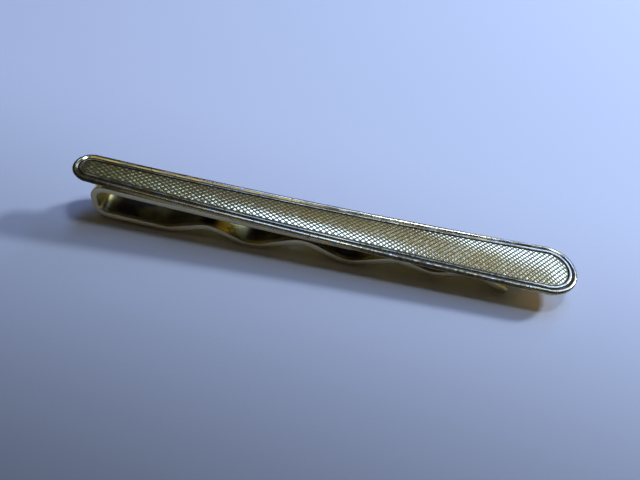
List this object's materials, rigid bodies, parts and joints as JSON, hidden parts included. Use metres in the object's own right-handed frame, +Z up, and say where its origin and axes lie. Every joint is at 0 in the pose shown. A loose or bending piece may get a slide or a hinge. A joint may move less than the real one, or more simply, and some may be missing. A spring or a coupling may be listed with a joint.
{
  "type": "tie bar",
  "caption": "Tapered engine-turned tie bar: a bowed bordered front and lining on a U-bent spring clip with a waved leaf that grips the tie.",
  "frame": {"origin": "on the table under the middle of the bar, where the clip lies on it", "axes": "+X along the bar towards its wide end, where the clip is open; +Y across the bar; +Z up, away from the table"},
  "size_m": [0.06, 0.007, 0.0071],
  "materials": {
    "front_gold": "polished rolled gold, engine turned, lightly worn",
    "lining_gold": "rolled gold sheet, satin from handling",
    "solder": "hard solder, dull and pale",
    "clip_gold": "gilt spring strip, polished with fine scratches along its length"
  },
  "bodies": {
    "bar": {"front_plate": "front_gold", "back_plate": "lining_gold", "solder_joints": "solder", "clip_arm": "clip_gold"},
    "leaf": {"spring_leaf": "clip_gold"}
  },
  "joints": [
    {"name": "leaf_opening", "type": "hinge", "parent": "bar", "child": "leaf", "pos_m": [-0.02734, 0, 0.0033], "axis": [0, 1, 0], "range_deg": [-0.2, 6], "stiffness_Nm_per_rad": 0.9}
  ]
}
